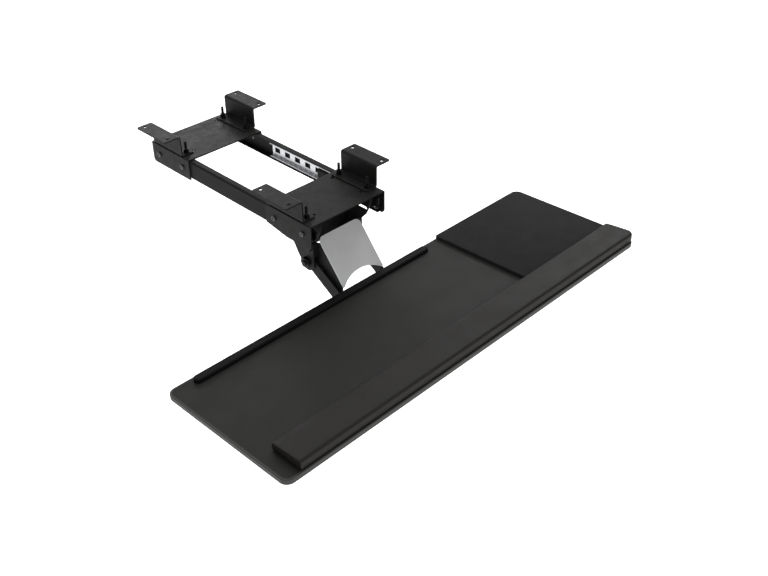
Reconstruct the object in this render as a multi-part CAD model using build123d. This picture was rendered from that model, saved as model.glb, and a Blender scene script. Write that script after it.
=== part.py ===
from build123d import *
import math
import os

# A tray that hangs under a desk top on a sliding, height adjusting arm.
# Four Z brackets hold two cross plates, which carry a ball slide at each side.
# A carriage runs in the slides, an arm swings from the carriage, and the tray
# tilts on the end of the arm. X is across the desk, Y points to its back, Z is
# up, and the origin is the middle of the desk screws, on the desk's underside.

# Cross plates and desk brackets
sheet = 2.0
bend_radius = 1.5
plate_length = 86.0
plate_spacing = 250.0
rear_flange_depth = 30.5
front_flange_depth = 33.5
front_flange_heel_depth = 27.0
flange_slope_share = 0.45
flange_corner_radius = 5.0
plate_hole_radius = 2.3
plate_hole_inset = 12.5
bracket_length = 66.0
bracket_height = 31.0
bracket_setback = 4.0
desk_flange_width = 26.0
deck_flange_width = 21.0
desk_hole_inset = 9.5
desk_hole_pitch = 54.0
desk_hole_radius = 2.75
bracket_corner_radius = 2.0

# Studs, washers and nuts that hold the brackets
stud_radius = 2.0
stud_rise = 16.0
stud_head_radius = 4.0
stud_head_height = 1.0
stud_inset = 9.0
nut_across_flats = 7.0
nut_height = 4.0
washer_radius = 5.0
washer_height = 1.0

# Ball slides
rail_height = 27.0
rail_depth = 9.5
rail_wall = 1.2
rail_end_gap = 2.0
inner_length = 116.0
inner_wall = 1.4
inner_leg = 5.5
ball_radius = 2.0
ball_running_gap = 0.3
ball_offset = 5.5
cage_wall = 0.8
cage_leg = 6.0
cage_web_gap = 1.2
cage_pitch = 21.4
cage_windows = 10
cage_window_width = 10.8
cage_window_height = 7.6
cage_start_gap = 4.0
ball_pocket_gap = 0.15
bumper_length = 4.0
bumper_height = 14.0
stop_gap = 0.5
slide_screw_pitch = 54.0

# Screws of the frame and the carriage
screw_radius = 2.0
screw_head_radius = 3.6
screw_head_height = 2.0
screw_gap = 0.1
socket_across_flats = 2.6
socket_depth = 1.2
thread_gap = 0.4
bolt_radius = 2.5
bolt_head_flats = 8.0
bolt_head_height = 3.2

# Carriage bridge and gooseneck plates
bridge_gap = 2.0
bridge_length = 76.0
bridge_setback = 10.0
bridge_screw_pitch = 26.0
bridge_screw_count = 3
gooseneck_width = 88.0
gooseneck_side_gap = 7.5
gooseneck_top_flange = 14.0
gooseneck_front_flange = 7.0
gooseneck_bolt_inset = 8.0
nose_reach = 18.5
nose_heights = (14.0, 25.0, 35.0)
nose_reach_shares = (0.78, 0.5, 0.0)
heel_depth = 29.0
knee_depths = (50.5, 57.0, 67.0, 76.0)
knee_setbacks = (30.0, 23.5, 18.0, 11.5)
slot_length = 20.0
slot_height = 5.0
slot_depth = 16.0
slot_setback = 14.0
front_flange_top = 33.0
front_flange_bottom = 59.0
web_setback = 15.0
web_depth = 60.0
stop_bolt_rise = 23.0
stop_bolt_lead = 6.0
stop_bolt_flats = 7.0

# Arm
pivot_setback = 34.0
pivot_drop = 75.0
lobe_radius = 12.5
arm_length = 104.6
arm_slope = 31.7
arm_bar_width = 18.0
arm_edge_flange = 2.6
arm_flange_start = 22.0
shaft_radius = 4.0
shaft_end = 7.0
running_gap = 0.05
pivot_washer = 1.0
pivot_washer_gap = 0.05
pivot_washer_radius = 8.5
pivot_nut_flats = 13.0
pivot_nut_height = 5.0
tube_radius = 7.0
weld_gap = 0.1
cover_side_gap = 0.3
cover_end_gap = 33.1
cover_slope = 50.2
cover_thickness = 1.5
cover_lead = 14.0
cover_rise = 38.7
cover_corner_radius = 8.0
cover_arc_depth = 12.0
cover_tip_width = 2.0
cheek_heel_rise = 24.0
cheek_heel_setback = 8.0
cheek_foot_share = 0.62
cheek_corner_radius = 6.0

# Tray
tray_depth = 205.0
tray_thickness = 7.0
tray_corner_radius = 11.0
tray_rise = 31.6
tray_overhang = 24.2
tray_pitch = 1.95
edge_wall = 2.5
edge_round = 1.0
palm_left = 22.0
keys_left = 32.0
keys_width = 387.0
strip_width = 29.0
pad_width = 178.0

# Stop bar behind the place for the keys unit
bar_setback = 4.0
bar_width = 12.0
bar_height = 5.0
bar_round = 2.0

# Palm rest and cloth pad
palm_depth = 45.5
palm_front_gap = 2.0
palm_right_gap = 1.0
palm_base_height = 1.2
palm_base_inset = 1.5
palm_back_height = 9.8
palm_front_height = 12.5
palm_corner_radius = 7.0
palm_nose = 3.0
palm_nose_drop = 2.2
palm_edge_radius = 0.9
pad_thickness = 5.0
pad_palm_gap = 0.3
pad_edge_radius = 0.6

# Tray brackets, tilt shaft and knob
ear_radius = 11.0
bracket_foot_width = 28.0
bracket_foot_length = 84.0
bracket_foot_setback = 6.0
ear_root_share = 0.7
tray_screw_radius = 1.9
tray_screw_length = 4.5
tray_screw_head = 4.0
tray_screw_pitch = 60.0
tray_screw_inset = 10.0
knob_radius = 16.0
knob_length = 18.0
knob_hub_radius = 9.0
knob_hub_length = 5.0
knob_gap = 0.3
knob_lobes = 8
knob_scallop_radius = 3.0
knob_edge_radius = 1.5
knob_shaft_grip = 14.0

# One overrun serves every cut
overrun = 1.0

# Levels and places worked out from the sizes above
plate_out = gooseneck_width / 2
plate_in = plate_out - sheet
bridge_inner = plate_out + gooseneck_side_gap
rail_mouth = bridge_inner + sheet
rail_outer = rail_mouth + rail_depth
half_frame = rail_outer + sheet
deck_top = -bracket_height
deck_under = deck_top - sheet
plate_centres = {
    "front": -plate_spacing / 2 - bracket_setback,
    "rear": plate_spacing / 2 - bracket_setback,
}
bracket_centres = {"front": -plate_spacing / 2, "rear": plate_spacing / 2}
frame_front = plate_centres["front"] - plate_length / 2
frame_rear = plate_centres["rear"] + plate_length / 2
desk_hole_x = half_frame + desk_flange_width - sheet - desk_hole_inset
stud_x = half_frame - deck_flange_width + stud_inset

rail_bottom = deck_under - rail_height
rail_middle = (deck_under + rail_bottom) / 2
rail_front = frame_front + rail_end_gap
rail_rear = frame_rear - rail_end_gap
rail_web = rail_outer - rail_wall
ball_track = 2 * (ball_radius + ball_running_gap)
ball_top = deck_under - rail_wall - ball_track / 2
ball_bottom = rail_bottom + rail_wall + ball_track / 2
ball_x = rail_outer - ball_offset
inner_top = deck_under - rail_wall - ball_track
inner_bottom = rail_bottom + rail_wall + ball_track
inner_rear = rail_front + inner_length
cage_outer = rail_web - cage_web_gap
cage_front = rail_front + cage_start_gap
cage_length = cage_pitch * cage_windows
cage_rear = cage_front + cage_length
slide_travel = rail_rear - bumper_length - stop_gap - inner_rear

bridge_top = deck_under - bridge_gap
bridge_under = bridge_top - sheet
bridge_front = frame_front + bridge_setback
bridge_rear = bridge_front + bridge_length
bar_out = plate_in - pivot_washer - 2 * pivot_washer_gap
bar_in = bar_out - sheet
cover_width = 2 * (bar_in - arm_edge_flange - cover_side_gap)
cover_length = arm_length - cover_end_gap

swing_y = frame_front + pivot_setback
swing_z = deck_top - pivot_drop
slope = math.radians(arm_slope)
tilt_y = swing_y - arm_length * math.cos(slope)
tilt_z = swing_z - arm_length * math.sin(slope)

tray_under = tilt_z + tray_rise
tray_top = tray_under + tray_thickness
tray_back = tilt_y + tray_overhang
tray_front = tray_back - tray_depth
tray_middle = (tray_back + tray_front) / 2
tray_width = keys_left + keys_width + strip_width + pad_width
half_tray = tray_width / 2
keys_x0 = keys_left - half_tray
keys_x1 = keys_x0 + keys_width
palm_front = tray_front + palm_front_gap
palm_back = palm_front + palm_depth
pitch_axis = Axis((0, tilt_y, tilt_z), (1, 0, 0))


def block(x0, x1, y0, y1, z0, z1):
    """A box given by its lowest and highest corners."""
    middle = Pos((x0 + x1) / 2, (y0 + y1) / 2, (z0 + z1) / 2)
    return middle * Box(abs(x1 - x0), abs(y1 - y0), abs(z1 - z0))


def rod_x(radius, x0, x1, y, z):
    """A round bar along X."""
    return Pos((x0 + x1) / 2, y, z) * Rot(0, 90, 0) * Cylinder(radius, abs(x1 - x0))


def rod_z(radius, x, y, z0, z1):
    """A round bar along Z."""
    return Pos(x, y, (z0 + z1) / 2) * Cylinder(radius, abs(z1 - z0))


def hex_x(across_flats, x0, x1, y, z):
    """A hexagonal bar along X."""
    face = RegularPolygon(across_flats / 2, 6, major_radius=False)
    return extrude(Plane.YZ.offset(min(x0, x1)) * Pos(y, z) * face, abs(x1 - x0))


def hex_z(across_flats, x, y, z0, z1):
    """A hexagonal bar along Z."""
    face = RegularPolygon(across_flats / 2, 6, major_radius=False)
    return extrude(Pos(x, y, min(z0, z1)) * face, abs(z1 - z0))


def plate_x(face, x0, x1):
    """A face drawn as (Y, Z), made solid from x0 to x1."""
    return extrude(Plane.YZ.offset(x0) * face, x1 - x0)


def outline(*points):
    """A closed face through the points."""
    return make_face(Polyline(*points, close=True))


def bent_sheet(points, thickness, y0, y1):
    """Sheet metal bent along its middle line, drawn as (X, Z), from y0 to y1."""
    middle_radius = bend_radius + thickness / 2
    profile = trace(FilletPolyline(*points, radius=middle_radius), thickness)
    return extrude(Plane.XZ.offset(-y1) * profile, y1 - y0)


def left_of(shape):
    """The mirror image of a right hand piece."""
    return mirror(shape, about=Plane.YZ)


def group(solids):
    """Separate solids kept together under one name."""
    return Compound(children=list(solids))


def save(name, shape):
    """Write one piece."""
    export_step(shape, f"parts/{name}.step")


def save_pair(name, shape):
    """Write a right hand piece and its mirror image."""
    save(f"{name}_right", shape)
    save(f"{name}_left", left_of(shape))


def pitched(shape):
    """A tray piece turned about the tilt shaft, so that the tray's front is a little higher."""
    return shape.rotate(pitch_axis, -tray_pitch)


def bracket_holes(end):
    """The Y of the two screws and two studs of a bracket."""
    middle = bracket_centres[end]
    return (middle - desk_hole_pitch / 2, middle + desk_hole_pitch / 2)


def slide_screw_places(end):
    """The Y of the two screws that hold a slide to a cross plate."""
    middle = plate_centres[end]
    return (middle - slide_screw_pitch / 2, middle + slide_screw_pitch / 2)


# Cross plates
def flange_face(end):
    """The side flange of a cross plate, seen from the side."""
    y0 = plate_centres[end] - plate_length / 2
    y1 = plate_centres[end] + plate_length / 2
    if end == "front":
        low = deck_top - front_flange_depth
        heel = (y1, deck_top - front_flange_heel_depth)
        slope_end = (y1 - plate_length * flange_slope_share, low)
        face = outline((y0, deck_top), (y0, low), slope_end, heel, (y1, deck_top))
        corner = (y0, low)
    else:
        low = deck_top - rear_flange_depth
        face = outline((y0, deck_top), (y0, low), (y1, low), (y1, deck_top))
        corner = (y1, low)
    rounded = face.vertices().sort_by_distance(Vector(*corner))[0]
    return fillet(rounded, flange_corner_radius)


def cross_plate(end):
    """A flat deck with a flange down each side, drilled for studs and screws."""
    y0 = plate_centres[end] - plate_length / 2
    y1 = plate_centres[end] + plate_length / 2
    plate = block(-half_frame, half_frame, y0, y1, deck_under, deck_top)
    face = flange_face(end)
    plate += plate_x(face, rail_outer, half_frame)
    plate += plate_x(face, -half_frame, -rail_outer)
    top_edges = plate.edges().filter_by(Axis.Y).group_by(Axis.Z)[-1]
    plate = fillet(top_edges, bend_radius)
    for side in (-1, 1):
        for y in bracket_holes(end):
            x = side * stud_x
            plate -= rod_z(stud_radius + screw_gap, x, y, deck_under - overrun, deck_top + overrun)
            recess_top = deck_under + stud_head_height
            plate -= rod_z(stud_head_radius + screw_gap, x, y, deck_under - overrun, recess_top)
            spare_x = side * (stud_x - plate_hole_inset)
            plate -= rod_z(plate_hole_radius, spare_x, y, deck_under - overrun, deck_top + overrun)
        for y in slide_screw_places(end):
            x0 = side * (rail_outer - overrun)
            x1 = side * (half_frame + overrun)
            plate -= rod_x(screw_radius + screw_gap, x0, x1, y, rail_middle)
    return plate


# Desk brackets
def desk_bracket(end):
    """The right hand Z bracket: deck flange, web and desk flange in one bent sheet."""
    half = sheet / 2
    flange_end = half_frame - deck_flange_width
    middle = [
        (flange_end, deck_top + half),
        (half_frame - half, deck_top + half),
        (half_frame - half, -half),
        (half_frame - sheet + desk_flange_width, -half),
    ]
    y0 = bracket_centres[end] - bracket_length / 2
    y1 = bracket_centres[end] + bracket_length / 2
    bracket = bent_sheet(middle, sheet, y0, y1)
    corners = bracket.edges().filter_by(Axis.Z).group_by(Axis.X)
    bracket = fillet(corners[-1] + corners[0], bracket_corner_radius)
    for y in bracket_holes(end):
        bracket -= rod_z(desk_hole_radius, desk_hole_x, y, -sheet - overrun, overrun)
        z1 = deck_top + sheet + overrun
        bracket -= rod_z(stud_radius + screw_gap, stud_x, y, deck_top - overrun, z1)
    return bracket


def stud_places():
    """The (X, Y) of the eight studs."""
    places = []
    for end in ("front", "rear"):
        for side in (-1, 1):
            for y in bracket_holes(end):
                places.append((side * stud_x, y))
    return places


def stud(x, y):
    """A stud with a flat head let into the underside of the deck."""
    head_top = deck_under + stud_head_height
    shank = rod_z(stud_radius, x, y, deck_under, deck_top + sheet + stud_rise)
    tip = shank.edges().group_by(Axis.Z)[-1]
    shank = chamfer(tip, stud_radius / 4)
    return shank + rod_z(stud_head_radius, x, y, deck_under, head_top)


def stud_washer(x, y):
    """A flat washer on the bracket's deck flange."""
    z0 = deck_top + sheet
    ring = rod_z(washer_radius, x, y, z0, z0 + washer_height)
    return ring - rod_z(stud_radius + screw_gap, x, y, z0 - overrun, z0 + washer_height + overrun)


def stud_nut(x, y):
    """A hexagonal nut on its washer."""
    z0 = deck_top + sheet + washer_height
    nut = hex_z(nut_across_flats, x, y, z0, z0 + nut_height)
    return nut - rod_z(stud_radius + screw_gap, x, y, z0 - overrun, z0 + nut_height + overrun)


# Ball slides, right hand
def slide_outer():
    """The fixed C shaped rail that is screwed inside the flanges."""
    half = rail_wall / 2
    middle = [
        (rail_mouth, deck_under - half),
        (rail_outer - half, deck_under - half),
        (rail_outer - half, rail_bottom + half),
        (rail_mouth, rail_bottom + half),
    ]
    rail = bent_sheet(middle, rail_wall, rail_front, rail_rear)
    for end in ("front", "rear"):
        for y in slide_screw_places(end):
            x1 = rail_outer + overrun
            rail -= rod_x(screw_radius + screw_gap, rail_web - overrun, x1, y, rail_middle)
    return rail


def slide_inner():
    """The moving C shaped rail that carries the carriage."""
    half = inner_wall / 2
    middle = [
        (rail_mouth + inner_leg, inner_top - half),
        (rail_mouth + half, inner_top - half),
        (rail_mouth + half, inner_bottom + half),
        (rail_mouth + inner_leg, inner_bottom + half),
    ]
    rail = bent_sheet(middle, inner_wall, rail_front, inner_rear)
    for y in bridge_screw_places():
        x1 = rail_mouth + inner_wall + overrun
        rail -= rod_x(screw_radius + screw_gap, rail_mouth - overrun, x1, y, rail_middle)
    return rail


def ball_places():
    """The (Y, Z) of every ball of one slide, two to each window of the cage."""
    places = []
    for number in range(2 * cage_windows):
        y = cage_front + cage_pitch * (number + 1 / 2) / 2
        places.append((y, ball_top))
        places.append((y, ball_bottom))
    return places


def ball_cage():
    """The pressed strip with windows that spaces the balls."""
    half = cage_wall / 2
    leg_end = cage_outer - cage_leg
    middle = [
        (leg_end, ball_top),
        (cage_outer - half, ball_top),
        (cage_outer - half, ball_bottom),
        (leg_end, ball_bottom),
    ]
    cage = bent_sheet(middle, cage_wall, cage_front, cage_rear)
    for number in range(cage_windows):
        y = cage_front + cage_pitch * (number + 1 / 2)
        window = block(
            cage_outer - cage_wall - overrun,
            cage_outer + overrun,
            y - cage_window_width / 2,
            y + cage_window_width / 2,
            rail_middle - cage_window_height / 2,
            rail_middle + cage_window_height / 2,
        )
        cage -= window
    for y, z in ball_places():
        pocket = ball_radius + ball_pocket_gap
        cage -= rod_z(pocket, ball_x, y, z - pocket, z + pocket)
    return cage


def slide_balls():
    """The balls of one slide."""
    return group(Pos(ball_x, y, z) * Sphere(ball_radius) for y, z in ball_places())


def slide_bumper():
    """The block that stops the carriage at the back of the rail."""
    x0 = rail_mouth + inner_wall
    z0 = rail_middle - bumper_height / 2
    bumper = block(x0, rail_web, rail_rear - bumper_length, rail_rear, z0, z0 + bumper_height)
    return fillet(bumper.edges().filter_by(Axis.Y), bend_radius)


# Screws
def round_screw_x(x_face, x_end, y, z):
    """A round headed screw along X, its head outside x_face, pointing to x_end."""
    out = 1 if x_face > x_end else -1
    head = rod_x(screw_head_radius, x_face, x_face + out * screw_head_height, y, z)
    rim = head.edges().sort_by(Axis.X)[-1 if out > 0 else 0]
    head = fillet(rim, screw_head_height / 2)
    head += rod_x(screw_radius, x_face, x_end, y, z)
    socket_floor = x_face + out * (screw_head_height - socket_depth)
    return head - hex_x(socket_across_flats, socket_floor, x_face + out * screw_head_height, y, z)


def slide_screws():
    """Eight screws through the flanges into the fixed rails."""
    screws = []
    for end in ("front", "rear"):
        for y in slide_screw_places(end):
            for side in (-1, 1):
                tip = side * (rail_web - thread_gap)
                screws.append(round_screw_x(side * half_frame, tip, y, rail_middle))
    return group(screws)


# Carriage
def bridge_screw_places():
    """The Y of the screws between the bridge and one moving rail."""
    middle = (bridge_front + bridge_rear) / 2
    first = middle - bridge_screw_pitch * (bridge_screw_count - 1) / 2
    return [first + bridge_screw_pitch * number for number in range(bridge_screw_count)]


def gooseneck_bolt_places():
    """The (X, Y) of the bolts between the bridge and the gooseneck plates."""
    x = plate_out - gooseneck_top_flange / 2
    near = swing_y + gooseneck_bolt_inset
    far = bridge_rear - gooseneck_bolt_inset
    return [(side * x, y) for side in (-1, 1) for y in (near, far)]


def carriage_bridge():
    """The folded sheet that ties both moving rails together."""
    half = sheet / 2
    middle = [
        (-bridge_inner - half, inner_bottom),
        (-bridge_inner - half, bridge_top - half),
        (bridge_inner + half, bridge_top - half),
        (bridge_inner + half, inner_bottom),
    ]
    bridge = bent_sheet(middle, sheet, bridge_front, bridge_rear)
    for y in bridge_screw_places():
        for side in (-1, 1):
            x0 = side * (bridge_inner - overrun)
            x1 = side * (rail_mouth + overrun)
            bridge -= rod_x(screw_radius + screw_gap, x0, x1, y, rail_middle)
    for x, y in gooseneck_bolt_places():
        z0 = bridge_under - overrun
        bridge -= rod_z(bolt_radius + screw_gap, x, y, z0, bridge_top + overrun)
    return bridge


def bridge_screws():
    """Screws from inside the bridge into the moving rails."""
    screws = []
    for y in bridge_screw_places():
        for side in (-1, 1):
            tip = side * (rail_mouth + inner_wall + thread_gap)
            screws.append(round_screw_x(side * bridge_inner, tip, y, rail_middle))
    return group(screws)


def gooseneck_face():
    """The side view of a gooseneck plate, from the bridge down to the swing shaft."""
    front = swing_y - lobe_radius
    heel = (bridge_rear, deck_top - heel_depth)
    knees = [(swing_y + back, deck_top - down) for back, down in zip(knee_setbacks, knee_depths)]
    nose = []
    for share, down in zip(nose_reach_shares, nose_heights):
        nose.append((front - nose_reach * share, bridge_under - down))
    nose_tip = (front - nose_reach, bridge_under)
    bottom = (swing_y, swing_z - lobe_radius)
    points = [nose_tip, (bridge_rear, bridge_under), heel, *knees, bottom]
    points += [(front, swing_z), *reversed(nose)]
    face = outline(*points) + Pos(swing_y, swing_z) * Circle(lobe_radius)
    slot = SlotOverall(slot_length, slot_height)
    face -= Pos(swing_y - slot_setback, bridge_under - slot_depth) * slot
    face -= Pos(swing_y, swing_z) * Circle(shaft_radius + running_gap)
    stop = Pos(swing_y - stop_bolt_lead, swing_z + stop_bolt_rise)
    return face - stop * Circle(bolt_radius + screw_gap)


def gooseneck():
    """A side plate with a flange along its top and a stiffening flange down its front."""
    plate = plate_x(gooseneck_face(), plate_in, plate_out)
    front = swing_y - lobe_radius
    top_x = plate_out - gooseneck_top_flange
    plate += block(top_x, plate_in, front, bridge_rear, bridge_under - sheet, bridge_under)
    z0 = bridge_under - front_flange_bottom
    z1 = bridge_under - front_flange_top
    plate += block(plate_out - gooseneck_front_flange, plate_in, front, front + sheet, z0, z1)
    for x, y in gooseneck_bolt_places():
        if x > 0:
            z = bridge_under - sheet - overrun
            plate -= rod_z(bolt_radius + screw_gap, x, y, z, bridge_under + overrun)
    return plate


def gooseneck_web():
    """The plate welded across between the side plates, behind the swing shaft."""
    y0 = swing_y + web_setback
    z1 = bridge_under - sheet
    return block(-plate_in, plate_in, y0, y0 + sheet, bridge_under - web_depth, z1)


def gooseneck_bolt(x, y):
    """A hexagon headed bolt, up through the flange and the bridge."""
    z0 = bridge_under - sheet
    bolt = hex_z(bolt_head_flats, x, y, z0 - bolt_head_height, z0)
    return bolt + rod_z(bolt_radius, x, y, z0, bridge_top + thread_gap)


def stop_bolt(side):
    """The bolt at the front of a gooseneck plate, with its nut inside."""
    y = swing_y - stop_bolt_lead
    z = swing_z + stop_bolt_rise
    head = hex_x(stop_bolt_flats, side * plate_out, side * (plate_out + bolt_head_height), y, z)
    inside = plate_in - bolt_head_height
    nut = hex_x(stop_bolt_flats, side * inside, side * plate_in, y, z)
    return head + nut + rod_x(bolt_radius, side * inside, side * plate_out, y, z)


def pivot_shaft(y, z, x_left, x_right):
    """A round shaft with chamfered ends."""
    shaft = rod_x(shaft_radius, x_left, x_right, y, z)
    ends = shaft.edges().filter_by(GeomType.CIRCLE)
    return chamfer(ends, shaft_radius / 8)


def pivot_nut(side, y, z):
    """The nut on the end of a pivot shaft."""
    nut = hex_x(pivot_nut_flats, side * plate_out, side * (plate_out + pivot_nut_height), y, z)
    x1 = side * (plate_out + pivot_nut_height + overrun)
    return nut - rod_x(shaft_radius + running_gap, side * (plate_out - overrun), x1, y, z)


def pivot_washers(y, z):
    """The nylon washers between the arm bars and the plates outside them."""
    rings = []
    for side in (-1, 1):
        x0 = side * (bar_out + pivot_washer_gap)
        x1 = side * (bar_out + pivot_washer_gap + pivot_washer)
        ring = rod_x(pivot_washer_radius, x0, x1, y, z)
        hole = rod_x(shaft_radius + running_gap, x0 - side * overrun, x1 + side * overrun, y, z)
        rings.append(ring - hole)
    return group(rings)


# Arm
def along_arm(distance, above=0):
    """A (Y, Z) at a distance down the arm from the swing shaft, and above its middle line."""
    y = swing_y - distance * math.cos(slope) - above * math.sin(slope)
    z = swing_z - distance * math.sin(slope) + above * math.cos(slope)
    return (y, z)


def arm_bar():
    """A side bar with round ends and a narrow flange along its upper edge."""
    middle = Pos(*along_arm(arm_length / 2)) * Rot(0, 0, arm_slope)
    face = middle * SlotCenterToCenter(arm_length, arm_bar_width)
    for y, z in ((swing_y, swing_z), (tilt_y, tilt_z)):
        face -= Pos(y, z) * Circle(shaft_radius + running_gap)
    bar = plate_x(face, bar_in, bar_out)
    half = arm_bar_width / 2
    edge = outline(
        along_arm(arm_flange_start, half),
        along_arm(arm_length, half),
        along_arm(arm_length, half - sheet),
        along_arm(arm_flange_start, half - sheet),
    )
    return bar + plate_x(edge, bar_in - arm_edge_flange, bar_in)


def cross_tube(y, z):
    """The tube between the bars, which turns on a shaft."""
    tube = rod_x(tube_radius, -bar_in, bar_in, y, z)
    return tube - rod_x(shaft_radius + running_gap, -bar_out, bar_out, y, z)


cover_angle = math.radians(cover_slope)
cover_y = swing_y - cover_lead
cover_z = swing_z + cover_rise
cover_plane = Plane(
    origin=(0, cover_y, cover_z),
    x_dir=(1, 0, 0),
    z_dir=(0, -math.sin(cover_angle), math.cos(cover_angle)),
)


def under_cover(distance, depth):
    """A (Y, Z) at a distance down the cover and a depth behind its face."""
    y = cover_y - distance * math.cos(cover_angle) + depth * math.sin(cover_angle)
    z = cover_z - distance * math.sin(cover_angle) - depth * math.cos(cover_angle)
    return (y, z)


def arm_cover():
    """The sloping front plate, with round top corners and an arc cut from its foot."""
    face = Pos(0, -cover_length / 2) * Rectangle(cover_width, cover_length)
    face = fillet(face.vertices().group_by(Axis.Y)[-1], cover_corner_radius)
    chord = cover_width / 2 - cover_tip_width
    foot = Line((-chord, -cover_length), (chord, -cover_length))
    crown = (0, cover_arc_depth - cover_length)
    arch = ThreePointArc((-chord, -cover_length), crown, (chord, -cover_length))
    face -= make_face([foot, arch])
    return extrude(cover_plane * face, -cover_thickness)


def arm_cheek():
    """The wall between the cover and the cross tube, seen beside the cover."""
    foot = along_arm(arm_length * cheek_foot_share, 0)
    heel = (swing_y + cheek_heel_setback, swing_z + cheek_heel_rise)
    low = along_arm(0, -tube_radius - sheet)
    back = (swing_y + tube_radius + sheet, swing_z)
    top = under_cover(cover_corner_radius, cover_thickness)
    toe = under_cover(cover_length - cover_tip_width, cover_thickness)
    face = outline(top, toe, foot, low, back, heel)
    corner = face.vertices().sort_by_distance(Vector(*heel))[0]
    face = fillet(corner, cheek_corner_radius)
    face -= Pos(swing_y, swing_z) * Circle(tube_radius + weld_gap)
    x1 = cover_width / 2
    return plate_x(face, x1 - sheet, x1)


# Tray
def tray_face(inset):
    """The tray's outline, drawn inside its edge by the inset."""
    width = tray_width - 2 * inset
    depth = tray_depth - 2 * inset
    return Pos(0, tray_middle) * RectangleRounded(width, depth, tray_corner_radius - inset)


def tray_slab(inset, z0, z1):
    """The tray's outline made solid."""
    return extrude(Pos(0, 0, z0) * tray_face(inset), z1 - z0)


def tray_screw_places():
    """The (X, Y) of the screws that hold the tray brackets to the board."""
    middle = tray_back - bracket_foot_setback - bracket_foot_length / 2
    places = []
    for side in (-1, 1):
        for inset in (tray_screw_inset, bracket_foot_width - tray_screw_inset):
            for step in (-1, 1):
                y = middle + step * tray_screw_pitch / 2
                places.append((side * (plate_in + inset), y))
    return places


def tray_board():
    """The thin board inside its edge band, drilled for the bracket screws."""
    board = tray_slab(edge_wall, tray_under, tray_top)
    for x, y in tray_screw_places():
        z1 = tray_under + tray_screw_length + thread_gap
        board -= rod_z(tray_screw_radius + screw_gap, x, y, tray_under - overrun, z1)
    return board


def edge_moulding():
    """The rounded band around the board."""
    band = tray_slab(0, tray_under, tray_top)
    rims = band.faces().sort_by(Axis.Z)
    band = fillet(rims[0].edges() + rims[-1].edges(), edge_round)
    return band - tray_slab(edge_wall, tray_under - overrun, tray_top + overrun)


def stop_bar():
    """The low bar with round ends that the keys unit stands against."""
    cx = (keys_x0 + keys_x1) / 2
    cy = tray_back - bar_setback - bar_width / 2
    bar = extrude(Pos(cx, cy, tray_top) * SlotOverall(keys_width, bar_width), bar_height)
    return fillet(bar.faces().sort_by(Axis.Z)[-1].edges(), bar_round)


def palm_outline(inset):
    """The palm rest's outline from above, drawn inside its edge by the inset."""
    x0 = palm_left - half_tray + inset
    x1 = half_tray - palm_right_gap - inset
    y0 = palm_front + inset
    y1 = palm_back - inset
    face = Pos((x0 + x1) / 2, (y0 + y1) / 2) * Rectangle(x1 - x0, y1 - y0)
    front_right = face.vertices().sort_by_distance(Vector(x1, y0))[0]
    return fillet(front_right, palm_corner_radius - inset)


def palm_base():
    """The thin stiff sheet under the palm rest, set back so that a shadow line shows."""
    return extrude(Pos(0, 0, tray_top) * palm_outline(palm_base_inset), palm_base_height)


def palm_rest():
    """The padded rest: a firm bar that rises a little to the front and has a bevelled nose."""
    low = tray_top + palm_base_height
    back_top = tray_top + palm_back_height
    front_top = tray_top + palm_front_height
    nose_low = front_top - palm_nose_drop
    section = outline(
        (palm_front, low),
        (palm_back, low),
        (palm_back, back_top),
        (palm_front + palm_nose, front_top),
        (palm_front, nose_low),
    )
    rest = plate_x(section, -half_tray, half_tray)
    rest &= extrude(Pos(0, 0, low) * palm_outline(0), palm_front_height)
    upper = rest.edges().filter_by(Axis.X).group_by(Axis.Z)
    return fillet(upper[-1] + upper[-2], palm_edge_radius)


def mouse_pad():
    """The cloth faced pad at the right hand end, flush with the back and the end."""
    pad = tray_slab(0, tray_top, tray_top + pad_thickness)
    y0 = palm_back + pad_palm_gap
    pad &= block(half_tray - pad_width, half_tray, y0, tray_back, tray_top, tray_top + pad_thickness)
    rim = pad.faces().sort_by(Axis.Z)[-1].edges()
    return chamfer(rim, pad_edge_radius)


def tray_bracket():
    """The angle under the board, with an ear that hangs on the tilt shaft."""
    y1 = tray_back - bracket_foot_setback
    y0 = y1 - bracket_foot_length
    z0 = tray_under - sheet
    root = bracket_foot_length * ear_root_share
    ear = outline(
        (y1, z0),
        (y1, tray_under),
        (y1 - root, tray_under),
        (y1 - root, z0),
        (tilt_y - ear_radius, tilt_z),
        (tilt_y, tilt_z - ear_radius),
        (tilt_y + ear_radius, tilt_z),
    )
    ear += Pos(tilt_y, tilt_z) * Circle(ear_radius)
    ear -= Pos(tilt_y, tilt_z) * Circle(shaft_radius + running_gap)
    bracket = plate_x(ear, plate_in, plate_out)
    foot = block(plate_in, plate_in + bracket_foot_width, y0, y1, z0, tray_under)
    corners = foot.edges().filter_by(Axis.Z).group_by(Axis.X)[-1]
    bracket += fillet(corners, flange_corner_radius)
    for x, y in tray_screw_places():
        if x > 0:
            hole = rod_z(tray_screw_radius + screw_gap, x, y, z0 - overrun, tray_under + overrun)
            bracket -= hole
    return bracket


def tray_screw(x, y):
    """A round headed screw up into the board."""
    z0 = tray_under - sheet
    head = rod_z(tray_screw_head, x, y, z0 - screw_head_height, z0)
    head = fillet(head.edges().group_by(Axis.Z)[0], screw_head_height / 2)
    head += rod_z(tray_screw_radius, x, y, z0, tray_under + tray_screw_length)
    socket_top = z0 - screw_head_height + socket_depth
    return head - hex_z(socket_across_flats, x, y, z0 - screw_head_height, socket_top)


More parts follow.
